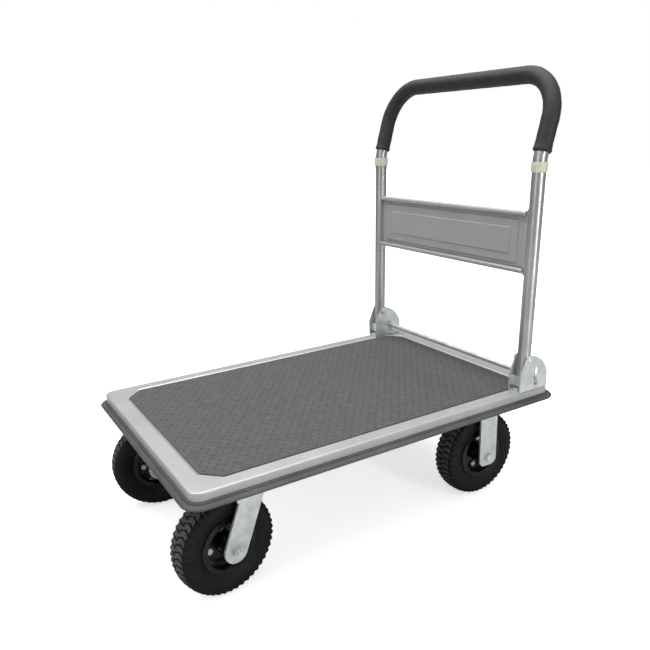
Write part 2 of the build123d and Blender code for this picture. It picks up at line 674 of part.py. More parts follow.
# ---------------------------------------------------------------- wheels
def tyre():
    """Hollow tyre: crowned tread, round shoulders, beads inside the rim flanges."""
    w = TYRE_HALF_WIDTH
    outer = [
        ThreePointArc((WHEEL_R - 3.5, -22), (WHEEL_R, 0), (WHEEL_R - 3.5, 22)),
        ThreePointArc((WHEEL_R - 3.5, 22), (WHEEL_R - 9.5, 28), (WHEEL_R - 19, w)),
        ThreePointArc((WHEEL_R - 19, w), (WHEEL_R - 33, w - 1), (BEAD_TOP, 23.5)),
        Line((BEAD_TOP, 23.5), (SEAT_R + TINY, 23.5)),
        Line((SEAT_R + TINY, 23.5), (SEAT_R + TINY, 15)),
        Line((SEAT_R + TINY, 15), (BEAD_TOP - 4, 17)),
        ThreePointArc((BEAD_TOP - 4, 17), (WHEEL_R - 26, 24), (WHEEL_R - 12, 16)),
        ThreePointArc((WHEEL_R - 12, 16), (WHEEL_R - 9, 0), (WHEEL_R - 12, -16)),
        ThreePointArc((WHEEL_R - 12, -16), (WHEEL_R - 26, -24), (BEAD_TOP - 4, -17)),
        Line((BEAD_TOP - 4, -17), (SEAT_R + TINY, -15)),
        Line((SEAT_R + TINY, -15), (SEAT_R + TINY, -23.5)),
        Line((SEAT_R + TINY, -23.5), (BEAD_TOP, -23.5)),
        ThreePointArc((BEAD_TOP, -23.5), (WHEEL_R - 33, 1 - w), (WHEEL_R - 19, -w)),
        ThreePointArc((WHEEL_R - 19, -w), (WHEEL_R - 9.5, -28), (WHEEL_R - 3.5, -22)),
    ]
    return revolve(make_face(outer), Axis.Y)


def inner_tube(valve_angle):
    """Air tube and its valve, which comes in through the rim."""
    ring = revolve(Pos(TUBE_RING_R, 0, 0) * Circle(TUBE_SECTION_R), Axis.Y)
    air = revolve(Pos(TUBE_RING_R, 0, 0) * Circle(TUBE_SECTION_R - 1.5), Axis.Y)
    length = TUBE_RING_R - VALVE_INNER_R
    stem = Pos(VALVE_INNER_R + length / 2, VALVE_Y, 0) * Rot(0, 90, 0) * Cylinder(VALVE_R, length)
    cap = Pos(VALVE_INNER_R + 4, VALVE_Y, 0) * Rot(0, 90, 0) * Cylinder(VALVE_R + 0.9, 8)
    tube = ring + stem + cap - air
    return Rot(0, -valve_angle, 0) * tube


def rim_halves(valve_angle, bolt_angle):
    """Two pressed dishes, back to back, with flanges for the tyre."""
    t = RIM_SHEET
    f = FLANGE_Y
    points = [(HUB_R + TINY, 0), (WEB_R, 0), (WEB_R + 6, 3), (SEAT_R, 3), (SEAT_R, f - t),
              (FLANGE_R - 1, f - t), (FLANGE_R, f - t + 1), (FLANGE_R - 1, f),
              (SEAT_R - t, f), (SEAT_R - t, 3 + t), (WEB_R + 6 - t, 3 + t), (WEB_R - t, t),
              (HUB_R + TINY, t)]
    half = spin_y(points)
    for k in range(4):
        a = radians(bolt_angle + 90 * k)
        half = half - rod_y(RIM_BOLT_CIRCLE * cos(a), RIM_BOLT_CIRCLE * sin(a), RIM_BOLT_R + 0.2, -5, 10)
    other = mirror(half, Plane.XZ)
    hole = Rot(0, -valve_angle, 0) * Pos(SEAT_R, VALVE_Y, 0) * Rot(0, 90, 0) * Cylinder(VALVE_R + 0.4, 12)
    return [half - hole, other]


def hub():
    tube = rod_y(0, 0, HUB_R, -HUB_HALF, HUB_HALF) - rod_y(0, 0, HUB_R - 7, -60, 60)
    for side in (-1, 1):
        y0 = min(side * HUB_HALF, side * (HUB_HALF - BEARING_WIDTH))
        tube = tube - rod_y(0, 0, BEARING_R + TINY, y0 - 0.01, y0 + BEARING_WIDTH + 0.01)
    return tube


def bearings():
    solids = []
    for side in (-1, 1):
        mid = side * (HUB_HALF - BEARING_WIDTH / 2)
        ring = rod_y(0, 0, BEARING_R, mid - BEARING_WIDTH / 2, mid + BEARING_WIDTH / 2)
        ring = ring - rod_y(0, 0, SLEEVE_R + RUNNING_FIT, -60, 60)
        face = side * HUB_HALF
        groove = rod_y(0, 0, BEARING_R - 2.5, face - 0.6, face + 0.6)
        groove = groove - rod_y(0, 0, SLEEVE_R + 2.5, -60, 60)
        solids.append(ring - groove)
    return solids


def rim_bolts(bolt_angle):
    """Four bolts with heads on the outer face and nuts on the inner face."""
    solids = []
    t = RIM_SHEET
    for k in range(4):
        a = radians(bolt_angle + 90 * k)
        x = RIM_BOLT_CIRCLE * cos(a)
        z = RIM_BOLT_CIRCLE * sin(a)
        head = hexagon_y(x, z, 12, t, t + 4.5)
        solids.append(head + rod_y(x, z, RIM_BOLT_R, -t - 7, t + 1))
        nut = hexagon_y(x, z, 12, -t - 5.5, -t)
        solids.append(nut - rod_y(x, z, RIM_BOLT_R + TINY, -t - 10, t))
    return solids


# ---------------------------------------------------------------- build and write every node
os.makedirs("parts", exist_ok=True)

bolt_places = [(deck_x(x), side * TUBE_Y) for x in BRACKET_BOLT_XS for side in (-1, 1)]
save("deck_tray", [deck_tray(bolt_places)])
save("deck_mat", [extrude(mat_outline(0, DECK_TOP - MAT_THICK), MAT_THICK)])
save("bumper", [bumper()])
save("deck_channels", deck_channels())

save("handle_tube", [handle_tube()])
save("handle_grip", [handle_grip()])
save("handle_rings", handle_rings())
save("handle_panel", [handle_panel()])

save("bracket_right", [bracket()])
save("bracket_left", mirrored([bracket()]))
save("bracket_bolts", bracket_bolts())
save("bracket_nuts", bracket_nuts())
save("pivot_bolts", pivot_bolts())
save("pivot_nuts", pivot_nuts())
save("lock_rod", [lock_rod()])
save("lock_rod_clips", lock_rod_clips())
save("lock_springs", lock_springs())

save("caster_mount_bolts", caster_mount_bolts())
save("caster_mount_nuts", caster_mount_nuts())
save("front_caster_plates", front_caster_plates())
save("swivel_bearings", swivel_bearings())
save("kingpins", kingpins())

SIDES = (("left", -1), ("right", 1))
rear_bolts = []
rear_nuts = []
rear_sleeves = []
for name, side in SIDES:
    save(f"rear_fork_{name}", [rear_fork(side)])
    rear_bolts += placed("rear", side, [axle_bolt(side)])
    rear_nuts += placed("rear", side, axle_nut(side))
    rear_sleeves += placed("rear", side, axle_sleeve())
    save(f"swivel_fork_{name}", [swivel_fork(side)])
    save(f"swivel_axle_bolt_{name}", placed("front", side, [axle_bolt(-side)]))
    save(f"swivel_axle_nut_{name}", placed("front", side, axle_nut(-side)))
    save(f"swivel_axle_sleeve_{name}", placed("front", side, axle_sleeve()))
    for end, bolt_angle in (("front", FRONT_BOLT_ANGLE), ("rear", REAR_BOLT_ANGLE)):
        outward = [(lambda s: s), (lambda s: mirror(s, Plane.XZ))][side < 0]
        wheel = f"{end}_{name}"
        save(f"{wheel}_tyre", placed(end, side, [tyre()]))
        save(f"{wheel}_inner_tube", placed(end, side, [outward(inner_tube(VALVE_ANGLE))]))
        rims = [outward(s) for s in rim_halves(VALVE_ANGLE, bolt_angle)]
        save(f"{wheel}_rim_halves", placed(end, side, rims))
        save(f"{wheel}_hub", placed(end, side, [hub()]))
        save(f"{wheel}_bearings", placed(end, side, bearings()))
        bolts = [outward(s) for s in rim_bolts(bolt_angle)]
        save(f"{wheel}_rim_bolts", placed(end, side, bolts))
save("rear_axle_bolts", rear_bolts)
save("rear_axle_nuts", rear_nuts)
save("rear_axle_sleeves", rear_sleeves)
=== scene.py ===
import json
from math import cos, pi, radians, sin, sqrt, tan

import bmesh
import bpy
import numpy as np
from mathutils import Matrix, Vector


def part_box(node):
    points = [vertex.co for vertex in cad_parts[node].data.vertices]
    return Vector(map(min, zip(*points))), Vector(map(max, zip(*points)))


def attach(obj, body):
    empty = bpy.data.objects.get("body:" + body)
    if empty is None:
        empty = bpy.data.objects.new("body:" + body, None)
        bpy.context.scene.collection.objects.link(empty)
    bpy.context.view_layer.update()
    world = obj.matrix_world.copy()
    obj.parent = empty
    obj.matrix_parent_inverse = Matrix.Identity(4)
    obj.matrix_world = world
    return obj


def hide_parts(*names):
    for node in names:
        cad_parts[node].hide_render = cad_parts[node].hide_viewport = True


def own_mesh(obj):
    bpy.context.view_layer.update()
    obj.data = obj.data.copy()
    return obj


# Looks of the folding platform cart: tread, mat dots, handle panel, grip, bumper finish,
# materials, light and camera. Metres, in the CAD model's frame.

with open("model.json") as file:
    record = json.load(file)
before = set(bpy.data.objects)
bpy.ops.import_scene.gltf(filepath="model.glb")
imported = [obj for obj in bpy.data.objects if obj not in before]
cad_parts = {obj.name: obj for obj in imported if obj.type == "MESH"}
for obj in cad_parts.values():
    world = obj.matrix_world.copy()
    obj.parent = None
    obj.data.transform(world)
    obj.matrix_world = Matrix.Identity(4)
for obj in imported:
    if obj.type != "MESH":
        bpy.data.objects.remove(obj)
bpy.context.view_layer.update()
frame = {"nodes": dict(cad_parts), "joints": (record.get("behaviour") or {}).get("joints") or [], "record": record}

WHEELS = ("front_left", "front_right", "rear_left", "rear_right")
JOINTS = {joint["name"]: joint for joint in frame["joints"]}


# ---------------------------------------------------------------- camera
def make_camera():
    """Stands near the front left corner and looks down the deck."""
    yaw, pitch, roll = radians(58.37), radians(18.83), radians(-1.81)
    look = Vector((cos(yaw) * cos(pitch), sin(yaw) * cos(pitch), -sin(pitch)))
    level_right = Vector((sin(yaw), -cos(yaw), 0))
    level_up = level_right.cross(look)
    right = level_right * cos(roll) + level_up * sin(roll)
    up = level_up * cos(roll) - level_right * sin(roll)
    data = bpy.data.cameras.new("camera")
    data.sensor_width = 36
    data.lens = 36.86
    data.shift_x = -0.0185
    data.shift_y = 0.0518
    data.clip_end = 50
    camera = bpy.data.objects.new("camera", data)
    bpy.context.scene.collection.objects.link(camera)
    turn = Matrix((right, up, -look)).transposed()
    camera.matrix_world = Matrix.Translation((-0.7553, -1.2959, 0.8666)) @ turn.to_4x4()
    bpy.context.scene.camera = camera


# ---------------------------------------------------------------- light and floor
def area_light(name, place, target, size, watts):
    data = bpy.data.lights.new(name, "AREA")
    data.shape = "RECTANGLE"
    data.size, data.size_y = size
    data.energy = watts
    light = bpy.data.objects.new(name, data)
    bpy.context.scene.collection.objects.link(light)
    direction = Vector(target) - Vector(place)
    light.location = place
    light.rotation_euler = direction.to_track_quat("-Z", "Y").to_euler()


def make_world():
    """White behind the cart; for reflections, bright overhead and dim near the horizon."""
    world = bpy.data.worlds.new("studio")
    bpy.context.scene.world = world
    world.use_nodes = True
    nodes, links = world.node_tree.nodes, world.node_tree.links
    shown = nodes["Background"]
    shown.inputs["Color"].default_value = (1, 1, 1, 1)
    shown.inputs["Strength"].default_value = 1.0
    place = nodes.new("ShaderNodeTexCoord").outputs["Generated"]
    split = nodes.new("ShaderNodeSeparateXYZ")
    links.new(place, split.inputs["Vector"])
    ramp = nodes.new("ShaderNodeValToRGB")
    ramp.color_ramp.elements[0].position = 0.06
    ramp.color_ramp.elements[0].color = (0.1, 0.1, 0.1, 1)
    ramp.color_ramp.elements[1].position = 0.75
    ramp.color_ramp.elements[1].color = (0.95, 0.95, 0.95, 1)
    links.new(split.outputs["Z"], ramp.inputs["Fac"])
    lighting = nodes.new("ShaderNodeBackground")
    lighting.inputs["Strength"].default_value = 0.8
    links.new(ramp.outputs["Color"], lighting.inputs["Color"])
    mix = nodes.new("ShaderNodeMixShader")
    links.new(nodes.new("ShaderNodeLightPath").outputs["Is Camera Ray"], mix.inputs["Fac"])
    links.new(lighting.outputs["Background"], mix.inputs[1])
    links.new(shown.outputs["Background"], mix.inputs[2])
    links.new(mix.outputs["Shader"], nodes["World Output"].inputs["Surface"])


def make_studio():
    bpy.context.scene.view_settings.view_transform = "Standard"
    make_world()
    area_light("top", (-0.2, 0.4, 3.2), (0, 0, 0.3), (3.4, 3.4), 118)
    area_light("strip", (0.55, -3.2, 1.1), (0.3, 0, 0.6), (0.5, 2.4), 42)
    area_light("fill", (-3.0, -0.6, 1.3), (0, 0, 0.4), (1.2, 2.0), 14)
    bm = bmesh.new()
    bmesh.ops.create_grid(bm, x_segments=8, y_segments=8, size=12)
    floor = new_object("floor", bm, [material_floor()])


# ---------------------------------------------------------------- node helpers
RAMP_START = 0.3
RAMP_END = 0.7


class Shader:
    """Small wrapper that builds a Principled material out of named nodes."""

    def __init__(self, name, metallic=0.0):
        self.material = bpy.data.materials.new(name)
        self.material.use_nodes = True
        self.nodes = self.material.node_tree.nodes
        self.links = self.material.node_tree.links
        self.surface = self.nodes["Principled BSDF"]
        self.surface.inputs["Metallic"].default_value = metallic
        self.place = self.nodes.new("ShaderNodeTexCoord").outputs["Object"]
        self.height = None

    def stretched(self, scale):
        mapping = self.nodes.new("ShaderNodeMapping")
        mapping.inputs["Scale"].default_value = scale
        self.links.new(self.place, mapping.inputs["Vector"])
        return mapping.outputs["Vector"]

    def noise(self, scale, detail=4.0, stretch=(1, 1, 1), rough=0.5):
        node = self.nodes.new("ShaderNodeTexNoise")
        node.inputs["Scale"].default_value = scale
        node.inputs["Detail"].default_value = detail
        node.inputs["Roughness"].default_value = rough
        self.links.new(self.stretched(stretch), node.inputs["Vector"])
        return node.outputs["Fac"]

    def cells(self, scale):
        node = self.nodes.new("ShaderNodeTexVoronoi")
        node.inputs["Scale"].default_value = scale
        self.links.new(self.place, node.inputs["Vector"])
        return node.outputs["Distance"]

    def ramp(self, value, low, high):
        node = self.nodes.new("ShaderNodeValToRGB")
        node.color_ramp.elements[0].position = RAMP_START
        node.color_ramp.elements[1].position = RAMP_END
        node.color_ramp.elements[0].color = (*low, 1)
        node.color_ramp.elements[1].color = (*high, 1)
        self.links.new(value, node.inputs["Fac"])
        return node.outputs["Color"]

    def spread(self, value, low, high):
        node = self.nodes.new("ShaderNodeMapRange")
        node.inputs["To Min"].default_value = low
        node.inputs["To Max"].default_value = high
        self.links.new(value, node.inputs["Value"])
        return node.outputs["Result"]

    def mix(self, factor, a, b):
        node = self.nodes.new("ShaderNodeMix")
        node.data_type = "RGBA"
        self.join(factor, node.inputs["Factor"])
        self.join(a, node.inputs["A"])
        self.join(b, node.inputs["B"])
        return node.outputs["Result"]

    def join(self, source, socket):
        if isinstance(source, bpy.types.NodeSocket):
            self.links.new(source, socket)
        elif isinstance(source, tuple):
            socket.default_value = (*source, 1)
        else:
            socket.default_value = source

    def colour(self, source):
        self.links.new(source, self.surface.inputs["Base Color"])

    def roughness(self, source):
        self.links.new(source, self.surface.inputs["Roughness"])

    def bump(self, source, distance, strength):
        node = self.nodes.new("ShaderNodeBump")
        node.inputs["Strength"].default_value = strength
        node.inputs["Distance"].default_value = distance
        self.links.new(source, node.inputs["Height"])
        if self.height is not None:
            self.links.new(self.height, node.inputs["Normal"])
        self.height = node.outputs["Normal"]
        self.links.new(self.height, self.surface.inputs["Normal"])


# ---------------------------------------------------------------- materials
def material_floor():
    """White to the eye and brighter far off; dimmer in what the cart's metal reflects."""
    s = Shader("floor")
    s.surface.inputs["Roughness"].default_value = 0.9
    s.colour(s.ramp(s.noise(2.0), (0.92, 0.92, 0.92), (0.94, 0.94, 0.94)))
    s.surface.inputs["Emission Color"].default_value = (1, 1, 1, 1)
    distance = s.nodes.new("ShaderNodeVectorMath")
    distance.operation = "LENGTH"
    s.links.new(s.place, distance.inputs[0])
    glow = s.nodes.new("ShaderNodeMapRange")
    glow.inputs["From Min"].default_value = 1.0
    glow.inputs["From Max"].default_value = 4.0
    glow.inputs["To Min"].default_value = 0.6
    glow.inputs["To Max"].default_value = 1.0
    s.links.new(distance.outputs["Value"], glow.inputs["Value"])
    s.links.new(glow.outputs["Result"], s.surface.inputs["Emission Strength"])
    dim = s.nodes.new("ShaderNodeBsdfDiffuse")
    dim.inputs["Color"].default_value = (0.5, 0.5, 0.5, 1)
    mix = s.nodes.new("ShaderNodeMixShader")
    s.links.new(s.nodes.new("ShaderNodeLightPath").outputs["Is Camera Ray"], mix.inputs["Fac"])
    s.links.new(dim.outputs["BSDF"], mix.inputs[1])
    s.links.new(s.surface.outputs["BSDF"], mix.inputs[2])
    s.links.new(mix.outputs["Shader"], s.nodes["Material Output"].inputs["Surface"])
    return s.material


def material_deck_steel():
    """Satin powder coat over pressed sheet."""
    s = Shader("deck_steel", 0.5)
    s.colour(s.ramp(s.noise(7.0, 6), (0.42, 0.42, 0.42), (0.50, 0.50, 0.495)))
    s.roughness(s.spread(s.noise(30.0, 6), 0.34, 0.48))
    s.bump(s.noise(900.0, 2), 0.00012, 0.5)
    s.bump(s.noise(9.0, 3), 0.0012, 0.25)
    s.surface.inputs["Coat Weight"].default_value = 0.25
    s.surface.inputs["Coat Roughness"].default_value = 0.2
    return s.material


def material_mat(dark):
    """Moulded rubber sheet with a fine leathery grain."""
    if dark:
        low, high = (0.034, 0.034, 0.037), (0.050, 0.050, 0.053)
    else:
        low, high = (0.056, 0.056, 0.060), (0.080, 0.080, 0.085)
    s = Shader("mat_dots" if dark else "mat_sheet")
    s.colour(s.ramp(s.noise(60.0, 8), low, high))
    s.roughness(s.spread(s.noise(120.0, 4), 0.6, 0.85))
    s.bump(s.cells(750.0), 0.00025, 0.7)
    s.bump(s.noise(1600.0, 3), 0.0001, 0.6)
    return s.material


def material_bumper():
    s = Shader("bumper_rubber")
    s.colour(s.ramp(s.noise(14.0, 6), (0.048, 0.048, 0.048), (0.074, 0.074, 0.073)))
    s.roughness(s.spread(s.noise(90.0, 5), 0.5, 0.7))
    s.bump(s.noise(500.0, 5), 0.00015, 0.6)
    s.bump(s.noise(30.0, 2), 0.0006, 0.25)
    return s.material


def material_painted_tube():
    """Smooth silver-grey enamel, shiny enough to streak along a round tube."""
    s = Shader("painted_tube", 0.85)
    s.colour(s.ramp(s.noise(12.0, 5), (0.42, 0.425, 0.42), (0.50, 0.505, 0.495)))
    s.roughness(s.spread(s.noise(160.0, 5, (1, 1, 0.15)), 0.3, 0.42))
    s.bump(s.noise(900.0, 3), 0.00002, 0.2)
    s.surface.inputs["Coat Weight"].default_value = 0.2
    s.surface.inputs["Coat Roughness"].default_value = 0.22
    return s.material


def material_panel():
    s = Shader("panel_steel", 0.4)
    s.colour(s.ramp(s.noise(8.0, 6), (0.40, 0.40, 0.392), (0.46, 0.46, 0.452)))
    s.roughness(s.spread(s.noise(60.0, 6), 0.34, 0.5))
    s.bump(s.noise(800.0, 3), 0.0001, 0.5)
    s.bump(s.noise(14.0, 2), 0.0004, 0.12)
    return s.material


def material_zinc():
    """Zinc plate: bluish, softly spangled, with faint rolling lines."""
    s = Shader("zinc_steel", 0.65)
    blotches = s.ramp(s.noise(45.0, 6, rough=0.6), (0.44, 0.53, 0.565), (0.80, 0.845, 0.84))
    s.colour(s.mix(s.spread(s.noise(22.0, 4), 0.0, 0.6), blotches, (0.74, 0.73, 0.62)))
    s.roughness(s.spread(s.noise(110.0, 6, (1, 1, 0.2)), 0.24, 0.44))
    s.bump(s.noise(28.0, 2), 0.0012, 0.3)
    s.bump(s.cells(260.0), 0.0001, 0.25)
    s.bump(s.noise(700.0, 4, (1, 1, 0.1)), 0.00008, 0.5)
    return s.material


def material_foam():
    """Closed-cell foam sleeve."""
    s = Shader("grip_foam")
    s.colour(s.ramp(s.noise(50.0, 8), (0.007, 0.007, 0.008), (0.015, 0.015, 0.0165)))
    s.roughness(s.spread(s.noise(200.0, 4), 0.5, 0.68))
    s.bump(s.cells(900.0), 0.0003, 0.8)
    s.bump(s.noise(70.0, 4), 0.0003, 0.25)
    s.surface.inputs["Sheen Weight"].default_value = 0.03
    s.surface.inputs["Sheen Roughness"].default_value = 0.5
    return s.material


def material_ring():
    s = Shader("ring_plastic")
    s.colour(s.ramp(s.noise(90.0, 5), (0.57, 0.55, 0.45), (0.64, 0.62, 0.52)))
    s.roughness(s.spread(s.noise(150.0), 0.4, 0.55))
    s.bump(s.noise(900.0, 3), 0.0001, 0.5)
    s.surface.inputs["Subsurface Weight"].default_value = 0.05
    return s.material


def material_rim():
    s = Shader("rim_paint")
    s.colour(s.ramp(s.noise(40.0, 6), (0.003, 0.003, 0.0035), (0.008, 0.008, 0.0085)))
    s.roughness(s.spread(s.noise(120.0, 6), 0.14, 0.32))
    s.bump(s.noise(300.0, 3), 0.0001, 0.4)
    s.surface.inputs["Specular IOR Level"].default_value = 0.25
    s.surface.inputs["Coat Weight"].default_value = 0.25
    s.surface.inputs["Coat Roughness"].default_value = 0.08
    return s.material


def material_tyre(name, tone, gloss):
    """Rubber: dark sidewall, and a much lighter tread face whose paleness is painted light where the top light
    falls on the lug tops.
    """
    low = tuple(c * tone for c in (0.006, 0.006, 0.0065))
    high = tuple(c * tone for c in (0.012, 0.012, 0.013))
    s = Shader(name)
    s.colour(s.ramp(s.noise(70.0, 8), low, high))
    s.roughness(s.spread(s.noise(160.0, 5), 0.45, 0.72))
    s.bump(s.noise(900.0, 5), 0.00015, 0.6)
    s.surface.inputs["Specular IOR Level"].default_value = gloss
    return s.material


def material_black_rubber():
    s = Shader("tube_rubber")
    s.colour(s.ramp(s.noise(50.0), (0.012, 0.012, 0.012), (0.02, 0.02, 0.02)))
    s.roughness(s.spread(s.noise(120.0), 0.5, 0.7))
    s.bump(s.noise(600.0, 3), 0.0001, 0.5)
    return s.material


def material_bearing():
    s = Shader("bearing_steel", 0.85)
    s.colour(s.ramp(s.noise(80.0, 5), (0.36, 0.37, 0.38), (0.5, 0.51, 0.52)))
    s.roughness(s.spread(s.noise(200.0, 5), 0.2, 0.4))
    s.bump(s.noise(500.0, 3), 0.00006, 0.5)
    return s.material


# ---------------------------------------------------------------- mesh helpers
def new_object(name, bm, materials):
    mesh = bpy.data.meshes.new(name)
    bmesh.ops.recalc_face_normals(bm, faces=bm.faces)
    for face in bm.faces:
        face.smooth = True
    bm.to_mesh(mesh)
    bm.free()
    for material in materials:
        mesh.materials.append(material)
    obj = bpy.data.objects.new(name, mesh)
    bpy.context.scene.collection.objects.link(obj)
    return obj


def grid_faces(bm, rows, close_rows, close_columns):
    """Faces between rows of vertices."""
    faces = []
    count = len(rows)
    width = len(rows[0])
    for i in range(count if close_rows else count - 1):
        for j in range(width if close_columns else width - 1):
            a, b = rows[i], rows[(i + 1) % count]
            k = (j + 1) % width
            faces.append(bm.faces.new((a[j], a[k], b[k], b[j])))
    return faces


def round_levels(bm, x, y, z, levels, sides):
    """Rings round an upright axis, one for each (radius, height), joined and closed on top."""
    rings = []
    for r, h in levels:
        rings.append([bm.verts.new((x + r * cos(a), y + r * sin(a), z + h))
                      for a in (2 * pi * k / sides for k in range(sides))])
    faces = grid_faces(bm, rings, False, True)
    faces.append(bm.faces.new(rings[-1]))
    return rings, faces


def smoothstep(x):
    x = np.clip(x, 0, 1)
    return x * x * (3 - 2 * x)


# ---------------------------------------------------------------- tyres
LUGS = 46
STEPS_PER_LUG = 14
TREAD_EDGE = 0.0225
LUG_TOP = 0.0016
LUG_DEPTH = 0.0046
LUG_LEAN = 0.0010
SEAM_DEPTH = 0.0010
GAP_DEPTH = 0.0042
RIB_DEPTH = 0.0013
CROWN_FALL = 0.0035
SHOULDER_FALL = 0.019
SHOULDER_RISE = 0.0155
SHOULDER_BULGE = 0.0072
WALL_RISE = 0.0255
WALL_TUCK = 0.0062
WALL_FOOT_R = 0.0635
WALL_INNER_Y = 0.0227
MOULD_LIFT = 0.0006


def tyre_section(radius):
    """Outer and inner outline of the tyre, from bead to bead, as (radius, across) pairs."""
    crown = []
    for y in np.linspace(-TREAD_EDGE, TREAD_EDGE, 33):
        crown.append((radius - CROWN_FALL * (y / TREAD_EDGE) ** 2, y))
    shoulder = []
    for t in np.linspace(0, pi / 2, 10)[1:]:
        shoulder.append((radius - SHOULDER_FALL + SHOULDER_RISE * cos(t),
                         TREAD_EDGE + SHOULDER_BULGE * sin(t)))
    wall = []
    for t in np.linspace(0, 1, 13)[1:]:
        wall.append((radius - SHOULDER_FALL - WALL_RISE * t,
                     TREAD_EDGE + SHOULDER_BULGE - WALL_TUCK * t * t))
    bead = [(0.0612, 0.0228), (0.0560, 0.0228), (0.0522, 0.0226), (0.0522, 0.0152)]
    inside = [(0.062, 0.0172), (0.072, 0.0222), (0.084, 0.0225), (0.094, 0.0165), (0.0985, 0.006)]
    side = shoulder + wall + bead + inside
    left = [(r, -y) for r, y in reversed(side)]
    return left + crown + side, len(left), len(crown), len(shoulder)


def tread_depth(turn, across):
    """Depth cut out of the tread: two rows of staggered, crescent-ended lugs.

    Places round the tyre are in shares of a lug's pitch, and places across it in shares of
    the tread's half width.
    """
    half = np.abs(across) / TREAD_EDGE
    row = np.where(across >= 0, 0.0, 0.5)
    bow = 0.42 * (1 - ((half - 0.5) / 0.5) ** 2)
    phase = turn * LUGS + row + bow
    near = np.abs(phase - np.round(phase))
    cut = (1 - smoothstep((near - 0.055) / 0.06)) * smoothstep((half - 0.06) / 0.08)
    seam = 1 - smoothstep((np.abs(half - 0.97) - 0.02) / 0.03)
    stagger = np.abs(turn * LUGS - np.round(turn * LUGS))
    middle = (1 - smoothstep((half - 0.035) / 0.05)) * smoothstep((stagger - 0.16) / 0.1)
    lean = LUG_LEAN * (phase - np.floor(phase))
    return LUG_DEPTH * np.maximum(cut, 0.75 * middle) + SEAM_DEPTH * seam + lean


def shoulder_depth(turn, share):
    """The gaps between lugs run on over the shoulder, with a finer rib between each pair."""
    near = np.abs(turn * LUGS - np.round(turn * LUGS))
    gap = (1 - smoothstep((near - 0.10) / 0.08)) * (1 - smoothstep((share - 0.45) / 0.3))
    half_way = np.abs(((turn * LUGS * 2) % 1.0) - 0.5) * 2
    rib = (1 - smoothstep((half_way - 0.30) / 0.25)) * (1 - smoothstep((share - 0.7) / 0.25))
    return np.maximum(GAP_DEPTH * gap, RIB_DEPTH * rib)


def sidewall_relief(radius):
    """Fine moulded rings on the sidewall."""
    lift = np.zeros_like(radius)
    for ring, width in ((0.0845, 0.0008), (0.0800, 0.0006), (0.0700, 0.0010), (0.0662, 0.0007)):
        lift = lift + MOULD_LIFT * np.exp(-((radius - ring) / width) ** 2)
    return lift


def make_tyre(wheel, tread, wall):
    node = f"{wheel}_tyre"
    low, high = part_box(node)
    radius = (high.z - low.z) / 2
    section, left, crown, shoulder = tyre_section(radius)
    outline = np.array(section)
    ahead = np.roll(outline, -1, axis=0) - np.roll(outline, 1, axis=0)
    length = np.hypot(ahead[:, 0], ahead[:, 1])
    normal = np.stack([ahead[:, 1], -ahead[:, 0]], axis=1) / length[:, None]
    outside = np.arange(len(outline))
    steps = LUGS * STEPS_PER_LUG
    bm = bmesh.new()
    rows, depths = [], []
    crown_ids = (outside >= left) & (outside < left + crown)
    near_ids = (outside >= left - shoulder) & (outside < left)
    far_ids = (outside >= left + crown) & (outside < left + crown + shoulder)
    on_wall = (outline[:, 0] > WALL_FOOT_R) & (outline[:, 0] < radius - SHOULDER_FALL)
    wall_ids = on_wall & (np.abs(outline[:, 1]) > WALL_INNER_Y)
    share = np.zeros(len(outline))
    share[near_ids] = np.linspace(1, 0.1, shoulder)
    share[far_ids] = np.linspace(0.1, 1, shoulder)
    for i in range(steps):
        turn = i / steps
        depth = np.zeros(len(outline))
        depth[crown_ids] = tread_depth(turn, outline[crown_ids, 1])
        depth[near_ids] = shoulder_depth(turn + 0.5 / LUGS, share[near_ids])
        depth[far_ids] = shoulder_depth(turn, share[far_ids])
        depth[wall_ids] -= sidewall_relief(outline[wall_ids, 0])
        depths.append(depth)
        moved = outline - normal * depth[:, None]
        angle = 2 * pi * turn
        rows.append([bm.verts.new((r * cos(angle), y, r * sin(angle))) for r, y in moved])
    faces = grid_faces(bm, rows, True, True)
    width = len(outline)
    for index, face in enumerate(faces):
        row, column = divmod(index, width)
        # Crown lug tops take the lighter tread rubber: painted light where the top light falls; gaps and shoulders
        # keep the wall rubber.
        painted_lit_top = left + 1 <= column < left + crown - 2 and depths[row][column] < LUG_TOP
        face.material_index = 0 if painted_lit_top else 1
    tyre = new_object(f"{wheel}_tread_tyre", bm, [tread, wall])
    spin = Vector(JOINTS[f"{wheel}_spin"]["axis"])
    place = Matrix.Translation(Vector(JOINTS[f"{wheel}_spin"]["pos_m"]))
    tyre.data.transform(place @ Vector((0, 1, 0)).rotation_difference(spin).to_matrix().to_4x4())
    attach(tyre, f"{wheel}_wheel")
    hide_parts(node)


# ---------------------------------------------------------------- deck mat
DOT_PITCH_X = 0.0204
DOT_PITCH_Y = 0.0268
DOT_R = 0.0026
DOT_RISE = 0.0006
DOT_SINK = 0.0002
DOT_SIDES = 10
DOT_COLUMNS = 44
DOT_ROWS = 24
DOT_MARGIN = 0.007
MAT_CHAMFER = 0.035
MAT_ROUND = 0.0012


def mat_corners(low, high, inset):
    c = MAT_CHAMFER - inset * (2 - sqrt(2))
    x0, x1, y0, y1 = low.x + inset, high.x - inset, low.y + inset, high.y - inset
    return [(x0 + c, y0), (x1 - c, y0), (x1, y0 + c), (x1, y1 - c),
            (x1 - c, y1), (x0 + c, y1), (x0, y1 - c), (x0, y0 + c)]


def mat_has(x, y, low, high, edge):
    if not (low.x + edge < x < high.x - edge and low.y + edge < y < high.y - edge):
        return False
    from_x = min(x - low.x, high.x - x)
    from_y = min(y - low.y, high.y - y)
    return from_x + from_y > MAT_CHAMFER + edge * sqrt(2)


def add_dot(bm, x, y, z):
    levels = ((DOT_R, -DOT_SINK), (DOT_R * 0.86, DOT_RISE * 0.7), (DOT_R * 0.5, DOT_RISE))
    rings, faces = round_levels(bm, x, y, z, levels, DOT_SIDES)
    faces.append(bm.faces.new(reversed(rings[0])))
    for face in faces:
        face.material_index = 1


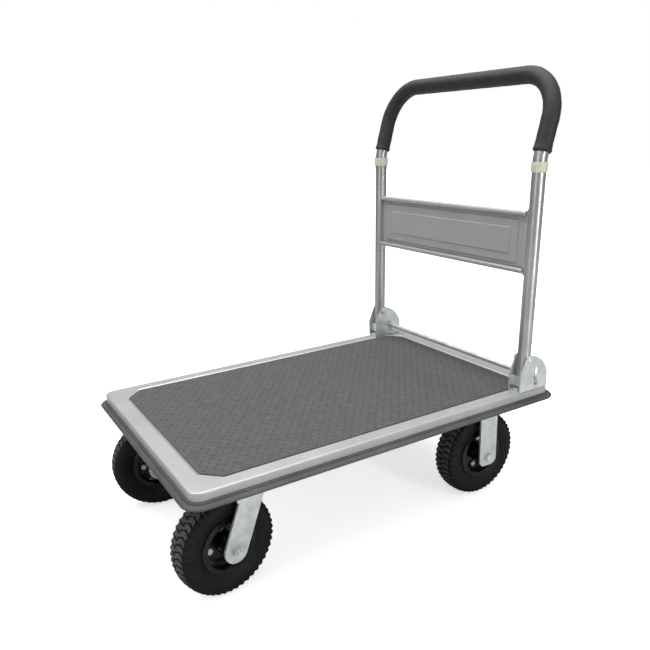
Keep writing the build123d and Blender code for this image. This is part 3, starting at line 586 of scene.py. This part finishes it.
def make_mat(sheet, dots):
    low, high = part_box("deck_mat")
    bm = bmesh.new()
    levels = ((0.0, low.z), (0.0, high.z - MAT_ROUND), (MAT_ROUND * 0.3, high.z - MAT_ROUND * 0.3),
              (MAT_ROUND, high.z))
    rows = [[bm.verts.new((x, y, z)) for x, y in mat_corners(low, high, inset)]
            for inset, z in levels]
    grid_faces(bm, rows, False, True)
    bm.faces.new(rows[-1])
    bm.faces.new(reversed(rows[0]))
    middle = (low + high) / 2
    for i in range(-DOT_COLUMNS, DOT_COLUMNS + 1):
        for j in range(-DOT_ROWS, DOT_ROWS + 1):
            if (i + j) % 2:
                continue
            x = middle.x + i * DOT_PITCH_X / 2
            y = middle.y + j * DOT_PITCH_Y / 2
            if mat_has(x, y, low, high, DOT_MARGIN):
                add_dot(bm, x, y, high.z)
    mat = new_object("dotted_mat", bm, [sheet, dots])
    mat.data.shade_flat()
    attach(mat, "root")
    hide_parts("deck_mat")


# ---------------------------------------------------------------- handle
TUBE_Y = 0.2852
TUBE_R = 0.015
GRIP_R = 0.0195
GRIP_SIDES = 40
GRIP_BORE_GAP = 0.0001
GRIP_SKIN = 0.0006
LIP_RISE = 0.0012
LIP_PLACE = 0.004
LIP_WIDTH = 0.0035
END_ROUND = 0.0016
END_LENGTH = 0.003
TOP_BEND_R = 0.095
UPPER_LEAN = radians(16)
RAKE = radians(1.35)


def make_grip(foam):
    """Foam sleeve: a long sweep over both top bends, with rolled lips at its ends."""
    low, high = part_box("handle_grip")
    top_z = high.z - GRIP_R
    start_z = low.z + GRIP_R * sin(UPPER_LEAN)
    top_x = high.x - GRIP_R
    along = Vector((sin(UPPER_LEAN), 0, cos(UPPER_LEAN)))
    across = Vector((0, 1, 0))
    top = Vector((top_x, 0, top_z))
    stem = (top_z - start_z) / cos(UPPER_LEAN)
    corner_y = TUBE_Y - TOP_BEND_R
    route = []
    for t in np.linspace(0, 1, 22):
        down = stem - (stem - TOP_BEND_R) * t
        route.append((Vector((0, -TUBE_Y, 0)) + top - along * down, along))
    for k in range(1, 15):
        a = k / 15 * pi / 2
        centre = top - along * TOP_BEND_R - across * corner_y
        spoke = -across * cos(a) + along * sin(a)
        route.append((centre + spoke * TOP_BEND_R, across * sin(a) + along * cos(a)))
    for y in np.linspace(-corner_y, 0, 16):
        route.append((top + across * y, across))
    mirrored = [(Vector((p.x, -p.y, p.z)), Vector((-d.x, d.y, -d.z)))
                for p, d in reversed(route[:-1])]
    route = route + mirrored
    lengths = [0.0]
    for (p, _), (q, _) in zip(route, route[1:]):
        lengths.append(lengths[-1] + (q - p).length)
    total = lengths[-1]
    bore = TUBE_R + GRIP_BORE_GAP
    side_axis = along.cross(across)
    rows = []
    bm = bmesh.new()
    for (place, forward), s in zip(route, lengths):
        end = min(s, total - s)
        lip = LIP_RISE * np.exp(-((end - LIP_PLACE) / LIP_WIDTH) ** 2)
        round_off = END_ROUND * max(0.0, 1 - end / END_LENGTH) ** 2
        ripple = 0.00018 * sin(s * 210) + 0.00012 * sin(s * 97 + 1)
        radius = GRIP_R - GRIP_SKIN + lip - round_off + ripple
        rows.append(ring(bm, place, forward, side_axis, radius, GRIP_SIDES))
    first, last = route[0], route[-1]
    inner_last = ring(bm, last[0], last[1], side_axis, bore, GRIP_SIDES)
    inner_rows = [ring(bm, p, d, side_axis, bore, GRIP_SIDES) for p, d in reversed(route[1:-1])]
    inner_first = ring(bm, first[0], first[1], side_axis, bore, GRIP_SIDES)
    grid_faces(bm, rows + [inner_last] + inner_rows + [inner_first], True, True)
    grip = new_object("foam_grip", bm, [foam])
    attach(grip, "handle")
    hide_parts("handle_grip")


def ring(bm, place, forward, side_axis, radius, sides):
    other = forward.cross(side_axis).normalized()
    ids = []
    for k in range(sides):
        a = 2 * pi * k / sides
        ids.append(bm.verts.new(place + side_axis * (radius * cos(a)) + other * (radius * sin(a))))
    return ids


WELD_R = 0.0021
SPOT_R = 0.0036
WELD_LUMPS = 7
WELD_HALF = 0.009
WELD_INSET = 0.006
WELD_BACK = 0.008
SPOT_SINK = 0.0001
SPOT_SIDES = 20
SPOT_BORDER = 0.42

PANEL_ROLL_R = 0.0055
PANEL_SHEET = 0.0013
PANEL_BACK = 0.0035
PRESS_WIDTH = 0.0018
# The rolled edges' turn, in degrees.
ROLL_START = -70
ROLL_SWEEP = 250
ROLL_STEPS = 14
# The panel's two pressed steps: half width, lower and upper place from the lower edge, depth.
FRAME_STEPS = ((0.2435, 0.020, 0.116, 0.0026), (0.2205, 0.0395, 0.0975, 0.0020))


def panel_relief(y, z):
    """How far the sheet is pressed forward at this point."""
    push = 0.0
    for half, low, high, depth in FRAME_STEPS:
        nearest = min(half - abs(y), z - low, high - z)
        inside = nearest / PRESS_WIDTH + 0.5
        push += depth * float(smoothstep(inside))
    return push


def fine_near(places, edges):
    """Adds closely spaced places across each pressed edge."""
    extra = [edge + np.linspace(-PRESS_WIDTH, PRESS_WIDTH, 9) for edge in edges]
    return np.unique(np.concatenate([places, *extra]))


def make_panel(paint):
    low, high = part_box("handle_panel")
    height = (high.z - low.z) / cos(RAKE)
    half_y = (high.y - low.y) / 2
    profile = []
    roll = PANEL_ROLL_R
    for k in range(ROLL_STEPS + 1):
        a = radians(ROLL_START + ROLL_SWEEP * k / ROLL_STEPS)
        profile.append((-roll - roll * cos(a), roll - roll * sin(a), False))
    level_edges = [z for _, bottom, top, _ in FRAME_STEPS for z in (bottom, top)]
    levels = fine_near(np.linspace(roll, height - roll, 42), level_edges)
    for z in levels[1:-1]:
        profile.append((0, z, True))
    for k in range(ROLL_STEPS + 1):
        a = radians(ROLL_SWEEP * k / ROLL_STEPS)
        profile.append((-roll - roll * cos(a + pi), height - roll + roll * sin(a), False))
    column_edges = [side * half for half, _, _, _ in FRAME_STEPS for side in (-1, 1)]
    columns = fine_near(np.linspace(-half_y, half_y, 50), column_edges)
    bm = bmesh.new()
    rows = []
    for y in columns:
        rows.append([bm.verts.new((x - (panel_relief(y, z) if flat else 0), y, z))
                     for x, z, flat in profile])
    grid_faces(bm, rows, False, False)
    panel = new_object("pressed_panel", bm, [paint])
    solid = panel.modifiers.new("sheet", "SOLIDIFY")
    solid.thickness = PANEL_SHEET
    solid.offset = 0
    apply_modifiers(panel)
    pivot_x, _, pivot_z = JOINTS["handle_fold"]["pos_m"]
    sheet_x = pivot_x + (low.z - pivot_z) * tan(RAKE)
    turn = Matrix.Rotation(RAKE, 4, "Y")
    panel.data.transform(Matrix.Translation((sheet_x - PANEL_BACK, 0, low.z)) @ turn)
    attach(panel, "handle")
    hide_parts("handle_panel")


SPRING_TURNS = 5.5
SPRING_WIRE_R = 0.0006
SPRING_STEPS = 110
SPRING_SIDES = 8


def make_springs(steel):
    """Wire springs under the lock rod."""
    low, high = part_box("lock_springs")
    coil_r = (high.x - low.x) / 2 - SPRING_WIRE_R
    centre_x = (low.x + high.x) / 2
    rise = high.z - low.z - 2 * SPRING_WIRE_R
    bm = bmesh.new()
    for side in (-1, 1):
        centre_y = side * (high.y - coil_r - SPRING_WIRE_R)
        rows = []
        for k in range(SPRING_STEPS + 1):
            share = k / SPRING_STEPS
            a = 2 * pi * SPRING_TURNS * share
            flat = float(smoothstep((share - 0.08) / 0.84))
            spoke = Vector((cos(a), sin(a), 0))
            centre = Vector((centre_x, centre_y, low.z + SPRING_WIRE_R + rise * flat))
            forward = Vector((-sin(a), cos(a), 0.1))
            place = centre + spoke * coil_r
            rows.append(ring(bm, place, forward, spoke, SPRING_WIRE_R, SPRING_SIDES))
        grid_faces(bm, rows, False, True)
        bm.faces.new(rows[-1])
        bm.faces.new(reversed(rows[0]))
    springs = new_object("return_springs", bm, [steel])
    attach(springs, "root")
    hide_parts("lock_springs")
    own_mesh(springs)


def lumpy_bead(bm, start, end, radius, lumps, wobble):
    """A weld bead: a run of overlapping rounded lumps."""
    for k in range(lumps):
        place = start.lerp(end, k / (lumps - 1))
        size = radius * (0.85 + 0.3 * abs(sin(wobble + 2.3 * k)))
        made = bmesh.ops.create_icosphere(bm, subdivisions=2, radius=size)
        bmesh.ops.translate(bm, verts=made["verts"], vec=place)


def make_welds(paint):
    """Short welds where the panel's rolled edges meet the tubes."""
    low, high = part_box("handle_panel")
    pivot = Vector(JOINTS["handle_fold"]["pos_m"])
    bm = bmesh.new()
    for side in (-1, 1):
        y = side * (high.y + WELD_R * 0.4)
        for z in (low.z + WELD_INSET, high.z - WELD_INSET):
            x = pivot.x + (z - pivot.z) * tan(RAKE) - WELD_BACK
            start, end = Vector((x, y, z - WELD_HALF)), Vector((x, y, z + WELD_HALF))
            lumpy_bead(bm, start, end, WELD_R, WELD_LUMPS, side + z * 40)
    welds = new_object("panel_welds", bm, [paint])
    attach(welds, "handle")


def make_spot_marks(paint):
    """Shallow round marks of the spot welds along the deck's border."""
    low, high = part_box("deck_tray")
    mat_low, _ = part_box("deck_mat")
    border = (mat_low.x - low.x) * SPOT_BORDER
    places = []
    for side in (-1, 1):
        y = side * (high.y - border)
        places += [(x, y) for x in np.linspace(low.x + 0.11, high.x - 0.17, 6)]
        places += [(low.x + border, side * 0.16), (high.x - border, side * 0.16)]
    levels = ((SPOT_R, 0.0), (SPOT_R * 0.9, 0.0005),
              (SPOT_R * 0.7, 0.0007), (SPOT_R * 0.35, 0.0004))
    bm = bmesh.new()
    for x, y in places:
        round_levels(bm, x, y, high.z - SPOT_SINK, levels, SPOT_SIDES)
    spots = new_object("spot_marks", bm, [paint])
    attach(spots, "root")


def apply_modifiers(obj):
    graph = bpy.context.evaluated_depsgraph_get()
    mesh = bpy.data.meshes.new_from_object(obj.evaluated_get(graph))
    obj.modifiers.clear()
    obj.data = mesh


# ---------------------------------------------------------------- CAD nodes' materials
def paint_node(name, material):
    node = frame["nodes"][name]
    node.data.materials.clear()
    node.data.materials.append(material)


def paint_cad(looks):
    """Every CAD node takes the material of its slot in the record."""
    for part in frame["record"]["subparts"]:
        paint_node(part["node"], looks[part["material_slot"]])


def main():
    make_camera()
    make_studio()
    looks = {
        "deck_steel": material_deck_steel(),
        "channel_steel": material_deck_steel(),
        "mat_rubber": material_mat(False),
        "bumper_rubber": material_bumper(),
        "painted_tube": material_painted_tube(),
        "panel_steel": material_panel(),
        "zinc_steel": material_zinc(),
        "grip_foam": material_foam(),
        "ring_plastic": material_ring(),
        "rim_paint": material_rim(),
        "tyre_rubber": material_tyre("tyre_wall", 0.8, 0.2),
        "tube_rubber": material_black_rubber(),
        "bearing_steel": material_bearing(),
    }
    paint_cad(looks)
    # Lighter copy of the tyre rubber for the lug tops: painted light from above.
    tread = material_tyre("tyre_tread_painted_light", 5.5, 0.5)
    for wheel in WHEELS:
        make_tyre(wheel, tread, looks["tyre_rubber"])
    make_mat(looks["mat_rubber"], material_mat(True))
    make_grip(looks["grip_foam"])
    make_panel(looks["panel_steel"])
    make_welds(looks["panel_steel"])
    make_spot_marks(looks["deck_steel"])
    make_springs(looks["bearing_steel"])


main()
